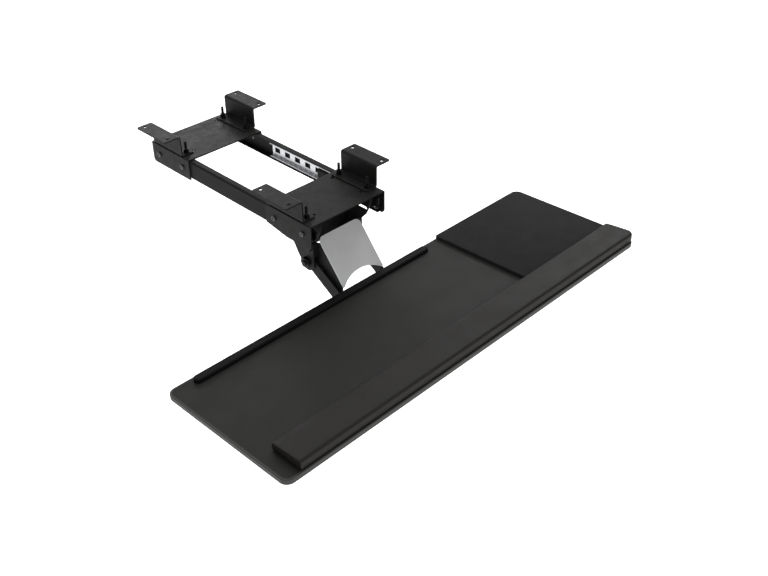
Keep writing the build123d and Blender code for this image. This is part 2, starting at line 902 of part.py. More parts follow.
def tilt_knob():
    """The lobed clamping knob on the right hand end of the tilt shaft."""
    x0 = plate_out + knob_gap
    x1 = x0 + knob_hub_length
    x2 = x1 + knob_length
    body = rod_x(knob_radius, x1, x2, tilt_y, tilt_z)
    body = fillet(body.edges().filter_by(GeomType.CIRCLE), knob_edge_radius)
    for number in range(knob_lobes):
        angle = 2 * math.pi * number / knob_lobes
        y = tilt_y + knob_radius * math.cos(angle)
        z = tilt_z + knob_radius * math.sin(angle)
        body -= rod_x(knob_scallop_radius, x1 - overrun, x2 + overrun, y, z)
    body += rod_x(knob_hub_radius, x0, x1, tilt_y, tilt_z)
    bore_end = plate_out + knob_shaft_grip + knob_gap
    return body - rod_x(shaft_radius + running_gap, x0 - overrun, bore_end, tilt_y, tilt_z)


os.makedirs("parts", exist_ok=True)

# Desk frame
for end_name in ("front", "rear"):
    save(f"cross_plate_{end_name}", cross_plate(end_name))
    save_pair(f"bracket_{end_name}", desk_bracket(end_name))
save("bracket_studs", group(stud(x, y) for x, y in stud_places()))
save("bracket_washers", group(stud_washer(x, y) for x, y in stud_places()))
save("bracket_nuts", group(stud_nut(x, y) for x, y in stud_places()))
save_pair("slide_outer", slide_outer())
save("slide_screws", slide_screws())
save("slide_bumpers", group([slide_bumper(), left_of(slide_bumper())]))

# Ball cages
save_pair("ball_cage", ball_cage())
save_pair("slide_balls", slide_balls())

# Carriage
save_pair("slide_inner", slide_inner())
save("carriage_bridge", carriage_bridge())
save("bridge_screws", bridge_screws())
save_pair("gooseneck", gooseneck())
save("gooseneck_web", gooseneck_web())
save("gooseneck_bolts", group(gooseneck_bolt(x, y) for x, y in gooseneck_bolt_places()))
save("stop_bolts", group(stop_bolt(side) for side in (-1, 1)))
swing_reach = plate_out + shaft_end
save("swing_shaft", pivot_shaft(swing_y, swing_z, -swing_reach, swing_reach))
save("swing_nuts", group(pivot_nut(side, swing_y, swing_z) for side in (-1, 1)))
save("swing_washers", pivot_washers(swing_y, swing_z))

# Arm
save_pair("arm_bar", arm_bar())
save_pair("arm_cheek", arm_cheek())
save("arm_cover", arm_cover())
save("swing_tube", cross_tube(swing_y, swing_z))
save("tilt_tube", cross_tube(tilt_y, tilt_z))

# Tray
save("tray_board", pitched(tray_board()))
save("edge_moulding", pitched(edge_moulding()))
save("stop_bar", pitched(stop_bar()))
save("palm_base", pitched(palm_base()))
save("palm_rest", pitched(palm_rest()))
save("mouse_pad", pitched(mouse_pad()))
save("tray_bracket_right", pitched(tray_bracket()))
save("tray_bracket_left", pitched(left_of(tray_bracket())))
save("tray_screws", group(pitched(tray_screw(x, y)) for x, y in tray_screw_places()))
knob_reach = plate_out + knob_shaft_grip
save("tilt_shaft", pivot_shaft(tilt_y, tilt_z, -swing_reach, knob_reach))
save("tilt_nut", pivot_nut(-1, tilt_y, tilt_z))
save("tilt_washers", pivot_washers(tilt_y, tilt_z))
save("tilt_knob", tilt_knob())

print("slide travel", round(slide_travel, 3))
print("swing shaft", round(swing_y, 3), round(swing_z, 3))
print("tilt shaft", round(tilt_y, 3), round(tilt_z, 3))
print("tray", round(tray_front, 3), round(tray_back, 3), round(tray_under, 3), round(tray_top, 3))
print("keys place", round(keys_x0, 3), round(keys_x1, 3), round(palm_back, 3))
print("desk holes", round(desk_hole_x, 3), bracket_holes("front"), bracket_holes("rear"))
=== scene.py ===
# %% [markdown]
# This lesson dresses a keyboard tray that hangs under a desk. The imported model
# already holds the folded steel, the slides, the arm and the board in their true
# sizes, so the first cell loads it and everything later is fitted to it.

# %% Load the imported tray
import math

import bmesh
import bpy
from mathutils import Matrix, Vector


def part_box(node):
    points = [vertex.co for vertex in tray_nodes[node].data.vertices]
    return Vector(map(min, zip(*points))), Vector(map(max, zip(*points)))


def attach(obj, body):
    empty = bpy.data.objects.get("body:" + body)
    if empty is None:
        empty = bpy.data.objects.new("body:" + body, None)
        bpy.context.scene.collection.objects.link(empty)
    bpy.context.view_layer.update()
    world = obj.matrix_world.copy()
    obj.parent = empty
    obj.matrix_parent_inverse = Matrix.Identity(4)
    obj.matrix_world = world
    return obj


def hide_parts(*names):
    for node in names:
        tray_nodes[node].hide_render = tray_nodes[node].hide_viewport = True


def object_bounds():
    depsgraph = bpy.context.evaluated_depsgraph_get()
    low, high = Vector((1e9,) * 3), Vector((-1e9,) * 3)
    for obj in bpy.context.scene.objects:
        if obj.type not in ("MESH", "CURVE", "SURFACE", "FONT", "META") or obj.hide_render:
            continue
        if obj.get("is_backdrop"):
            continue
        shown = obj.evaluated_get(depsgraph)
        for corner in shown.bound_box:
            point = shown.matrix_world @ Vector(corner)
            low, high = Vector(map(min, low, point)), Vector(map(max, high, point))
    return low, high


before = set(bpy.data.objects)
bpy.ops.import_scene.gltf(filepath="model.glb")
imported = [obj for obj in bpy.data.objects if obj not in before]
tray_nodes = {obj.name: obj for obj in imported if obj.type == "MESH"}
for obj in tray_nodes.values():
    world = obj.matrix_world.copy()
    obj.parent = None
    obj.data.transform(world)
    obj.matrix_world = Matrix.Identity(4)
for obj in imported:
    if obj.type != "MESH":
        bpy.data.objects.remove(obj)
cad_low, cad_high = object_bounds()
print("pieces loaded:", len(tray_nodes))
print("size in mm:", [round(1000 * side) for side in cad_high - cad_low])

# %% [markdown]
# Blender works in metres, and a maker thinks of such small parts in
# millimetres. One factor keeps every later number readable.

# %% Millimetres
MM = 0.001
print("one millimetre is", MM, "of Blender's units")

# %% [markdown]
# The tray sits on its tilt shaft with the front a little higher than the back.
# Its soft pieces are easier to shape level, so one helper reads the box of a
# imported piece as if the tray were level, and another tips a finished piece.

# %% Level and tipped
tray_pitch = math.radians(1.95)
tilt_shaft = Vector((0.0, -0.226995, -0.160964))
tip_up = (
    Matrix.Translation(tilt_shaft)
    @ Matrix.Rotation(-tray_pitch, 4, "X")
    @ Matrix.Translation(-tilt_shaft)
)


def level_box(name):
    """The low and high corner of an imported tray piece, as if the tray were level."""
    back_level = tip_up.inverted()
    node = tray_nodes[name]
    points = [back_level @ (node.matrix_world @ point.co) for point in node.data.vertices]
    low = Vector([min(point[axis] for point in points) for axis in range(3)])
    high = Vector([max(point[axis] for point in points) for axis in range(3)])
    return low, high


def tip_piece(piece):
    """Turns a finished piece about the tilt shaft to the tray's pitch."""
    piece.data.transform(tip_up)
    piece.data.update()


level_low, level_high = level_box("tray_board")
print("board thickness in mm:", round((level_high.z - level_low.z) / MM, 2))

# %% [markdown]
# The camera comes first, because every later choice is judged through it. It
# looks down at the tray from the user's left, with a lens a little longer than
# normal, and a track quaternion turns it so that its minus Z points at the tray.

# %% Camera
camera_azimuth = math.radians(-45.54)
camera_height_angle = math.radians(35.22)
camera_data = bpy.data.cameras.new("tray_camera")
camera_data.lens = 45.49
camera_data.sensor_width = 36.0
camera_data.clip_start = 0.05
camera_data.clip_end = 60.0
camera = bpy.data.objects.new("tray_camera", camera_data)
bpy.context.scene.collection.objects.link(camera)
bpy.context.scene.camera = camera
toward_camera = Vector(
    (
        math.sin(camera_azimuth) * math.cos(camera_height_angle),
        -math.cos(camera_azimuth) * math.cos(camera_height_angle),
        math.sin(camera_height_angle),
    )
)
camera.location = (-0.724, -0.945, 0.5935)
camera.rotation_mode = "QUATERNION"
camera.rotation_quaternion = (-toward_camera).to_track_quat("-Z", "Y")
print("camera stands at", [round(x, 3) for x in camera.location])

# %% [markdown]
# Dark metal shows its shape only through what it reflects. A broad soft light
# from above lights the decks and the pad. Two more stand far behind and to the
# right, at the height of the mirrored view, and make the level faces brighter
# toward the back. Two weak ones fill the upright faces. The world is white near
# the horizon, like a studio's walls, and dims above them, where the decks and
# the tray mirror it.

# %% Studio lights
def soft_light(name, place, target, width, height, watts):
    """An area light at a place, aimed at a target."""
    lamp = bpy.data.lights.new(name, "AREA")
    lamp.shape = "RECTANGLE"
    lamp.size = width
    lamp.size_y = height
    lamp.energy = watts
    lamp_object = bpy.data.objects.new(name, lamp)
    bpy.context.scene.collection.objects.link(lamp_object)
    lamp_object.location = place
    aim = Vector(target) - Vector(place)
    lamp_object.rotation_mode = "QUATERNION"
    lamp_object.rotation_quaternion = aim.to_track_quat("-Z", "Y")


tray_middle = (0.0, -0.12, -0.1)
soft_light("light_above", (0.4, 0.5, 1.9), tray_middle, 1.8, 1.8, 24.0)
soft_light("light_left", (-2.0, -0.4, 0.7), tray_middle, 1.4, 1.0, 2.5)
soft_light("light_front", (0.6, -2.2, 0.9), tray_middle, 1.6, 1.0, 9.0)
soft_light("light_behind", (1.3, 2.4, 1.15), tray_middle, 1.0, 0.7, 14.0)
soft_light("light_far_right", (2.5, 0.85, 1.4), tray_middle, 1.0, 0.7, 20.0)

wall_foot = 0.16
wall_top = 0.34
wall_strength = 1.0
ceiling_strength = 0.28
studio = bpy.data.worlds.new("studio_air")
bpy.context.scene.world = studio
studio.use_nodes = True
studio_air = studio.node_tree.nodes["Background"]
studio_air.inputs["Color"].default_value = (1.0, 1.0, 1.0, 1.0)
sky_point = studio.node_tree.nodes.new("ShaderNodeTexCoord")
sky_height = studio.node_tree.nodes.new("ShaderNodeSeparateXYZ")
sky_fade = studio.node_tree.nodes.new("ShaderNodeMapRange")
sky_fade.inputs["From Min"].default_value = wall_foot
sky_fade.inputs["From Max"].default_value = wall_top
sky_fade.inputs["To Min"].default_value = wall_strength
sky_fade.inputs["To Max"].default_value = ceiling_strength
sky_links = studio.node_tree.links
sky_links.new(sky_point.outputs["Generated"], sky_height.inputs["Vector"])
sky_links.new(sky_height.outputs["Z"], sky_fade.inputs["Value"])
sky_links.new(sky_fade.outputs["Result"], studio_air.inputs["Strength"])
bpy.context.scene.view_settings.view_transform = "Standard"
print("lights made:", len(bpy.data.lights))

# %% [markdown]
# A finish is a small tree of nodes. These helpers add one node with its values,
# lay out the object coordinates that all patterns share, and build the two
# things almost every finish needs: a tone that varies, and a bump.

# %% Helpers for finishes
def new_finish(name, roughness, metallic=0.0, specular=0.22):
    """A material and its shader, with the plain values set on the shader itself."""
    finish = bpy.data.materials.new(name)
    finish.use_nodes = True
    shader = finish.node_tree.nodes["Principled BSDF"]
    shader.inputs["Roughness"].default_value = roughness
    shader.inputs["Metallic"].default_value = metallic
    shader.inputs["Specular IOR Level"].default_value = specular
    return finish, finish.node_tree, shader


def add_node(tree, kind, **values):
    """One node, with values for its inputs."""
    made = tree.nodes.new(kind)
    for name, value in values.items():
        made.inputs[name.replace("_", " ")].default_value = value
    return made


def surface_point(tree, stretch=(1.0, 1.0, 1.0)):
    """The place on the object, with each axis stretched."""
    source = tree.nodes.new("ShaderNodeTexCoord")
    mapping = add_node(tree, "ShaderNodeMapping", Scale=stretch)
    tree.links.new(source.outputs["Object"], mapping.inputs["Vector"])
    return mapping.outputs["Vector"]


def cloudy(tree, point, size, detail=3.0):
    """A noise whose patches are about one size across, in metres."""
    noise = add_node(tree, "ShaderNodeTexNoise", Scale=1.0 / size, Detail=detail)
    tree.links.new(point, noise.inputs["Vector"])
    return noise.outputs["Fac"]


def between(tree, factor, low, high, start=0.35, end=0.65):
    """A value or colour that runs from low to high with the factor."""
    ramp = tree.nodes.new("ShaderNodeValToRGB")
    ramp.color_ramp.elements[0].position = start
    ramp.color_ramp.elements[1].position = end
    ramp.color_ramp.elements[0].color = (*low, 1.0)
    ramp.color_ramp.elements[1].color = (*high, 1.0)
    tree.links.new(factor, ramp.inputs["Fac"])
    return ramp.outputs["Color"]


def rough_between(tree, factor, low, high):
    """A roughness that runs from low to high with the factor."""
    span = add_node(tree, "ShaderNodeMapRange", To_Min=low, To_Max=high)
    span.inputs["From Min"].default_value = 0.3
    span.inputs["From Max"].default_value = 0.7
    tree.links.new(factor, span.inputs["Value"])
    return span.outputs["Result"]


def raised(tree, height, depth, below=None):
    """A bump of a depth in metres, on top of another bump if there is one."""
    bump = add_node(tree, "ShaderNodeBump", Strength=1.0, Distance=depth)
    tree.links.new(height, bump.inputs["Height"])
    if below is not None:
        tree.links.new(below, bump.inputs["Normal"])
    return bump.outputs["Normal"]


print("finish helpers ready")

# %% [markdown]
# Folded edges get a thin painted highlight: a lighter colour painted on them in
# place of the light they catch. The highlight mask compares the true normal with a
# rounded one, which differ only near an edge, and a second helper lays one colour over another
# by that factor.

# %% Painted edge highlight
def painted_edge_highlight(tree, radius):
    """A factor that is one on sharp edges and nothing on flat faces."""
    rounded = tree.nodes.new("ShaderNodeBevel")
    rounded.samples = 6
    rounded.inputs["Radius"].default_value = radius
    true_face = tree.nodes.new("ShaderNodeNewGeometry")
    likeness = tree.nodes.new("ShaderNodeVectorMath")
    likeness.operation = "DOT_PRODUCT"
    tree.links.new(rounded.outputs["Normal"], likeness.inputs[0])
    tree.links.new(true_face.outputs["Normal"], likeness.inputs[1])
    span = add_node(tree, "ShaderNodeMapRange", From_Min=0.995, From_Max=0.8)
    tree.links.new(likeness.outputs["Value"], span.inputs["Value"])
    return span.outputs["Result"]


def mixed(tree, factor, first, second):
    """One colour laid over another by a factor."""
    mix = tree.nodes.new("ShaderNodeMix")
    mix.data_type = "RGBA"
    tree.links.new(factor, mix.inputs["Factor"])
    tree.links.new(first, mix.inputs["A"])
    mix.inputs["B"].default_value = (*second, 1.0)
    return mix.outputs["Result"]


print("edge line ready")

# %% [markdown]
# Powder coat is a skin of melted plastic on steel. Here it is nearly black on
# the frame and the arm and pale grey on the cover, with the faint dimples of
# orange peel all over.

# %% Powder coat
def powder_coat(name, dark, light, edge, roughness):
    """Powder coat with orange peel, faint clouds and a painted highlight on its edges."""
    finish, tree, shader = new_finish(name, roughness, specular=0.1)
    point = surface_point(tree)
    clouds = cloudy(tree, point, 35 * MM)
    tone = between(tree, clouds, dark, light)
    # painted highlight: a lighter edge colour laid over the tone on sharp edges
    tone = mixed(tree, painted_edge_highlight(tree, 0.5 * MM), tone, edge)
    tree.links.new(tone, shader.inputs["Base Color"])
    gloss = rough_between(tree, cloudy(tree, point, 9 * MM), roughness - 0.06, roughness + 0.08)
    tree.links.new(gloss, shader.inputs["Roughness"])
    peel = raised(tree, cloudy(tree, point, 0.9 * MM, 2.0), 0.03 * MM)
    tree.links.new(peel, shader.inputs["Normal"])
    return finish


# the third colour of each coat is its painted edge highlight
frame_coat = powder_coat(
    "frame_coat", (0.009, 0.009, 0.0085), (0.013, 0.0132, 0.0125), (0.04, 0.04, 0.038), 0.46
)
arm_coat = powder_coat(
    "arm_coat", (0.005, 0.005, 0.005), (0.008, 0.008, 0.008), (0.03, 0.03, 0.03), 0.52
)
cover_coat = powder_coat(
    "cover_coat", (0.58, 0.582, 0.59), (0.63, 0.632, 0.64), (0.72, 0.72, 0.73), 0.42
)
print("powder coats:", frame_coat.name, arm_coat.name, cover_coat.name)

# %% [markdown]
# The rails are rolled steel with a dark coat, and the ball cages are bright.
# Rolling leaves fine lines along the strip, so this pattern is stretched along
# Y, the way the rails run.

# %% Rolled steel
def rolled_steel(name, dark, light, roughness, metallic, line_size):
    """Metal with fine lines along Y."""
    finish, tree, shader = new_finish(name, roughness, metallic, 0.09)
    along = surface_point(tree, (1.0, 0.03, 1.0))
    lines = cloudy(tree, along, line_size, 4.0)
    tree.links.new(between(tree, lines, dark, light), shader.inputs["Base Color"])
    gloss = rough_between(tree, lines, roughness - 0.08, roughness + 0.08)
    tree.links.new(gloss, shader.inputs["Roughness"])
    tree.links.new(raised(tree, lines, 0.01 * MM), shader.inputs["Normal"])
    return finish


rail_steel = rolled_steel(
    "rail_steel", (0.007, 0.007, 0.007), (0.011, 0.011, 0.011), 0.55, 0.0, 0.8 * MM
)
cage_steel = rolled_steel(
    "cage_steel", (0.5, 0.51, 0.53), (0.68, 0.69, 0.71), 0.34, 0.9, 0.7 * MM
)
print("rolled steels:", rail_steel.name, cage_steel.name)

# %% [markdown]
# Zinc crystals and handling leave soft mottling, so both the tone and the gloss
# vary over a few millimetres. The studs, nuts and swing bolts have black zinc,
# the slide screws a dull grey one, and the fasteners under the tray a bright
# one. The balls are the same idea, only harder and smoother.

# %% Zinc and ball steel
def zinc(name, dark, light, roughness):
    """Plated steel with soft mottling."""
    finish, tree, shader = new_finish(name, roughness, 1.0)
    point = surface_point(tree)
    mottle = cloudy(tree, point, 2.5 * MM)
    tree.links.new(between(tree, mottle, dark, light), shader.inputs["Base Color"])
    gloss = rough_between(tree, mottle, roughness - 0.05, roughness + 0.1)
    tree.links.new(gloss, shader.inputs["Roughness"])
    scratches = cloudy(tree, point, 0.4 * MM, 2.0)
    tree.links.new(raised(tree, scratches, 0.008 * MM), shader.inputs["Normal"])
    return finish


screw_zinc = zinc("screw_zinc", (0.42, 0.43, 0.44), (0.62, 0.63, 0.64), 0.3)
ball_steel = zinc("ball_steel", (0.62, 0.62, 0.63), (0.72, 0.72, 0.73), 0.12)
black_zinc = zinc("black_zinc", (0.014, 0.014, 0.014), (0.028, 0.028, 0.028), 0.46)
dull_zinc = zinc("dull_zinc", (0.07, 0.07, 0.07), (0.13, 0.13, 0.13), 0.42)
print("plated finishes:", screw_zinc.name, ball_steel.name, black_zinc.name, dull_zinc.name)

# %% [markdown]
# The board and the palm rest wear a grained film, olive grey on the board and a
# warmer grey on the rest. The grain is made of small pebbles with creases
# between them, which is what a Voronoi pattern gives, and painted shade darkens
# the creases. A slower noise clouds the tone and the gloss.

# %% Grained film
def grained_film(name, dark, light, roughness, pebble, depth):
    """A pebbled film, with painted shade darkening the creases between the pebbles."""
    finish, tree, shader = new_finish(name, roughness, specular=0.15)
    point = surface_point(tree)
    pebbles = add_node(tree, "ShaderNodeTexVoronoi", Scale=1.0 / pebble)
    pebbles.feature = "DISTANCE_TO_EDGE"
    tree.links.new(point, pebbles.inputs["Vector"])
    crease = pebbles.outputs["Distance"]
    clouds = cloudy(tree, point, 28 * MM, 4.0)
    tone = between(tree, clouds, dark, light, 0.3, 0.7)
    # painted shade: the colour is darkened in the creases between the pebbles
    crease_shade = between(tree, crease, tuple(0.75 * c for c in dark), (1.0, 1.0, 1.0), 0.0, 0.25)
    blend = tree.nodes.new("ShaderNodeMix")
    blend.data_type = "RGBA"
    blend.blend_type = "MULTIPLY"
    blend.inputs["Factor"].default_value = 0.25
    tree.links.new(tone, blend.inputs["A"])
    tree.links.new(crease_shade, blend.inputs["B"])
    tree.links.new(blend.outputs["Result"], shader.inputs["Base Color"])
    gloss = rough_between(tree, clouds, roughness - 0.05, roughness + 0.06)
    tree.links.new(gloss, shader.inputs["Roughness"])
    soft = raised(tree, cloudy(tree, point, 6 * MM), 0.08 * MM)
    tree.links.new(raised(tree, crease, depth, soft), shader.inputs["Normal"])
    return finish


board_film = grained_film(
    "board_film", (0.016, 0.0162, 0.0147), (0.0195, 0.0197, 0.018), 0.57, 1.1 * MM, 0.05 * MM
)
palm_film = grained_film(
    "palm_film", (0.0128, 0.0112, 0.0102), (0.0165, 0.0146, 0.0134), 0.54, 1.4 * MM, 0.08 * MM
)
print("films:", board_film.name, palm_film.name)

# %% [markdown]
# The pad is faced with a close woven cloth. Two wave patterns, one along each
# thread direction, give the crossing threads, and a little sheen on the shader
# gives the soft bloom that cloth has at low angles.

# %% Woven cloth
def woven_cloth(name, dark, light, thread):
    """Crossing threads of one width."""
    finish, tree, shader = new_finish(name, 0.9, specular=0.1)
    shader.inputs["Sheen Weight"].default_value = 0.05
    shader.inputs["Sheen Roughness"].default_value = 0.5
    point = surface_point(tree)
    heights = []
    for direction in ("X", "Y"):
        wave = add_node(tree, "ShaderNodeTexWave", Scale=math.pi / (10.0 * thread))
        wave.bands_direction = direction
        tree.links.new(point, wave.inputs["Vector"])
        heights.append(wave.outputs["Fac"])
    crossing = tree.nodes.new("ShaderNodeMath")
    crossing.operation = "MULTIPLY"
    tree.links.new(heights[0], crossing.inputs[0])
    tree.links.new(heights[1], crossing.inputs[1])
    clouds = cloudy(tree, point, 18 * MM, 5.0)
    tree.links.new(between(tree, clouds, dark, light, 0.3, 0.7), shader.inputs["Base Color"])
    fuzz = raised(tree, cloudy(tree, point, 0.5 * MM), 0.06 * MM)
    weave = raised(tree, crossing.outputs["Value"], 0.1 * MM, fuzz)
    tree.links.new(weave, shader.inputs["Normal"])
    return finish


pad_cloth = woven_cloth("pad_cloth", (0.014, 0.0143, 0.0143), (0.018, 0.0183, 0.0183), 0.8 * MM)
print("cloth:", pad_cloth.name)

# %% [markdown]
# The edge band, the stop bar, the knob, the washers and the bumpers are moulded.
# Their surface is even, with a very fine spark texture, and it is the roughness
# more than the colour that tells one plastic or rubber from another. The sheet
# under the palm rest is a matt black one, so that it reads as a shadow.

# %% Moulded plastic
def moulded(name, dark, light, roughness, gloss_level=0.22):
    """Plain plastic with a fine spark texture."""
    finish, tree, shader = new_finish(name, roughness, specular=gloss_level)
    point = surface_point(tree)
    clouds = cloudy(tree, point, 22 * MM)
    tree.links.new(between(tree, clouds, dark, light), shader.inputs["Base Color"])
    grain = cloudy(tree, point, 0.5 * MM, 1.0)
    tree.links.new(raised(tree, grain, 0.025 * MM), shader.inputs["Normal"])
    gloss = rough_between(tree, clouds, roughness - 0.04, roughness + 0.04)
    tree.links.new(gloss, shader.inputs["Roughness"])
    return finish


edge_plastic = moulded("edge_plastic", (0.04, 0.041, 0.037), (0.046, 0.047, 0.043), 0.5)
bar_rubber = moulded("bar_rubber", (0.003, 0.003, 0.003), (0.005, 0.005, 0.005), 0.6, 0.08)
shadow_board = moulded("shadow_board", (0.004, 0.004, 0.004), (0.006, 0.006, 0.006), 0.8)
knob_plastic = moulded("knob_plastic", (0.012, 0.012, 0.012), (0.016, 0.016, 0.016), 0.5)
washer_plastic = moulded("washer_plastic", (0.03, 0.03, 0.03), (0.04, 0.04, 0.04), 0.45)
bumper_rubber = moulded("bumper_rubber", (0.012, 0.012, 0.012), (0.016, 0.016, 0.016), 0.8)
print("plastics:", edge_plastic.name, knob_plastic.name, washer_plastic.name)
print("rubbers and the dark sheet:", bar_rubber.name, bumper_rubber.name, shadow_board.name)

# %% [markdown]
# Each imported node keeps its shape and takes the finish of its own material. One
# table from node to finish is easier to check than forty assignments, and every
# piece that it leaves out, such as a plate, wears the frame's black coat.

# %% Give every node its finish
finish_of_node = {
    "slide_outer_left": rail_steel,
    "slide_outer_right": rail_steel,
    "slide_inner_left": rail_steel,
    "slide_inner_right": rail_steel,
    "ball_cage_left": cage_steel,
    "ball_cage_right": cage_steel,
    "slide_balls_left": ball_steel,
    "slide_balls_right": ball_steel,
    "bracket_studs": black_zinc,
    "bracket_washers": black_zinc,
    "bracket_nuts": black_zinc,
    "slide_screws": dull_zinc,
    "bridge_screws": black_zinc,
    "gooseneck_bolts": black_zinc,
    "stop_bolts": black_zinc,
    "swing_shaft": black_zinc,
    "swing_nuts": black_zinc,
    "tilt_shaft": screw_zinc,
    "tilt_nut": screw_zinc,
    "tray_screws": screw_zinc,
    "slide_bumpers": bumper_rubber,
    "swing_washers": washer_plastic,
    "tilt_washers": washer_plastic,
    "arm_bar_left": arm_coat,
    "arm_bar_right": arm_coat,
    "arm_cheek_left": arm_coat,
    "arm_cheek_right": arm_coat,
    "swing_tube": arm_coat,
    "tilt_tube": arm_coat,
    "tray_bracket_left": arm_coat,
    "tray_bracket_right": arm_coat,
    "arm_cover": cover_coat,
    "tray_board": board_film,
    "edge_moulding": edge_plastic,
    "stop_bar": bar_rubber,
    "palm_base": shadow_board,
    "palm_rest": palm_film,
    "mouse_pad": pad_cloth,
    "tilt_knob": knob_plastic,
}
for node_name, tray_node in tray_nodes.items():
    tray_node.data.materials.clear()
    tray_node.data.materials.append(finish_of_node.get(node_name, frame_coat))
print("nodes finished:", len(tray_nodes))

# %% [markdown]
# New pieces are shaped in a bmesh and then become an object that stays at the
# origin, so that its object coordinates are the tray's own coordinates. This
# helper welds doubles, points the faces outwards and links the result.

# %% Make a piece from a bmesh
def finish_piece(name, shape, finish, body, smooth=True):
    """An object from a bmesh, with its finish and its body."""
    bmesh.ops.remove_doubles(shape, verts=shape.verts, dist=0.002 * MM)
    bmesh.ops.recalc_face_normals(shape, faces=shape.faces)
    mesh = bpy.data.meshes.new(name)
    shape.to_mesh(mesh)
    shape.free()
    mesh.materials.append(finish)
    for face in mesh.polygons:
        face.use_smooth = smooth
    piece = bpy.data.objects.new(name, mesh)
    bpy.context.scene.collection.objects.link(piece)
    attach(piece, body)
    return piece


def round_edges(shape, edges, width, segments):
    """Rounds edges of a bmesh."""
    bmesh.ops.bevel(
        shape,
        geom=edges,
        offset=width,
        offset_type="OFFSET",
        segments=segments,
        profile=0.5,
        affect="EDGES",
        clamp_overlap=True,
        material=-1,
    )


def sharpen_folds(piece, degrees=30.0):
    """Marks edges sharper than an angle, so that smooth shading stops at them."""
    mesh = piece.data
    shape = bmesh.new()
    shape.from_mesh(mesh)
    for edge in shape.edges:
        if len(edge.link_faces) == 2 and edge.calc_face_angle() > math.radians(degrees):
            edge.smooth = False
    shape.to_mesh(mesh)
    shape.free()


print("piece helpers ready")

# %% [markdown]
# The palm rest is a long firm bar of foam under a grained film, pulled tight
# over a stiff base. Its section rises a little from the pad to the nose, is
# slightly crowned on top, and rolls over softly at the nose.

# %% Palm rest section
palm_low, palm_high = level_box("palm_rest")
palm_front = palm_low.y
palm_back = palm_high.y
palm_foot = palm_low.z
palm_top = palm_high.z
nose_rise = 2.7 * MM
crown = 0.25 * MM
foot_tuck = 0.3 * MM
back_round = 1.5 * MM
nose_round = 3.2 * MM
crown_steps = 9
back_top = palm_top - nose_rise
crown_back = palm_back - back_round
crown_front = palm_front + nose_round
palm_section = [
    (palm_front + foot_tuck, palm_foot),
    (palm_back - foot_tuck, palm_foot),
    (palm_back, palm_foot + 0.5 * MM),
    (palm_back, back_top - back_round),
    (palm_back - 0.45 * MM, back_top - 0.5 * MM),
    (crown_back, back_top),
]
for step in range(1, crown_steps):
    share = step / crown_steps
    y = crown_back + (crown_front - crown_back) * share
    z = back_top + nose_rise * share + crown * math.sin(math.pi * share)
    palm_section.append((y, z))
palm_section += [
    (crown_front, palm_top),
    (palm_front + 2.0 * MM, palm_top - 0.2 * MM),
    (palm_front + 1.1 * MM, palm_top - 0.7 * MM),
    (palm_front + 0.4 * MM, palm_top - 1.4 * MM),
    (palm_front + 0.05 * MM, palm_top - 2.3 * MM),
    (palm_front, palm_top - nose_round),
    (palm_front, palm_foot + 0.6 * MM),
]
print("points in the section:", len(palm_section))

# %% [markdown]
# The section is filled once and extruded along the tray. Its long edges are
# then cut into many short lengths, so that the body can turn a corner and swell.

# %% Palm rest body
rest_cuts = 119
rest_length = palm_high.x - palm_low.x
rest_shape = bmesh.new()
section_points = [rest_shape.verts.new((palm_low.x, y, z)) for y, z in palm_section]
section_face = rest_shape.faces.new(section_points)
grown = bmesh.ops.extrude_face_region(rest_shape, geom=[section_face])
far_points = [item for item in grown["geom"] if isinstance(item, bmesh.types.BMVert)]
bmesh.ops.translate(rest_shape, verts=far_points, vec=(rest_length, 0, 0))
long_edges = [
    edge
    for edge in rest_shape.edges
    if abs(edge.verts[0].co.x - edge.verts[1].co.x) > rest_length / 2
]
bmesh.ops.subdivide_edges(rest_shape, edges=long_edges, cuts=rest_cuts, use_grid_fill=True)
print("palm rest faces:", len(rest_shape.faces))

# %% [markdown]
# The right hand end turns a small rounded corner with the board. The last few
# slices are moved close together there, on a quarter circle, and each is drawn
# back as far as the circle has turned. Both end rims are then rounded a little,
# so that the film looks stretched round foam and not cut.

# %% Palm rest corner and ends
corner_radius = 7 * MM
corner_slices = 7
end_round = 1.1 * MM
slice_length = rest_length / (rest_cuts + 1)
first_turned = rest_cuts + 1 - corner_slices
straight = rest_length - corner_radius
for point in rest_shape.verts:
    number = round((point.co.x - palm_low.x) / slice_length)
    if number <= first_turned:
        point.co.x = palm_low.x + straight * number / first_turned
    else:
        turned = math.pi / 2 * (number - first_turned) / corner_slices
        point.co.x = palm_low.x + straight + corner_radius * math.sin(turned)
        drawn = corner_radius * (1 - math.cos(turned))
        point.co.y += drawn * (palm_back - point.co.y) / (palm_back - palm_front)
end_caps = [
    min(rest_shape.faces, key=lambda face: face.calc_center_median().x),
    max(rest_shape.faces, key=lambda face: face.calc_center_median().x),
]
end_rims = [
    edge
    for cap in end_caps
    for edge in cap.edges
    if all(point.co.z > palm_foot + 0.4 * MM for point in edge.verts)
]
round_edges(rest_shape, end_rims, end_round, 3)
palm_piece = finish_piece("palm_cushion", rest_shape, palm_film, "tray")
sharpen_folds(palm_piece, 50.0)
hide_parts("palm_rest")
print("palm cushion faces:", len(palm_piece.data.polygons))

# %% [markdown]
# Foam pushes its cover out a little. A short cloth simulation with air pressure
# gives that swelling. The foot, the back and both ends are pinned, and every
# other point is held to within a third of a millimetre of where it began,
# because the real rest is firm. The finished rest is then tipped to the tray's
# pitch.

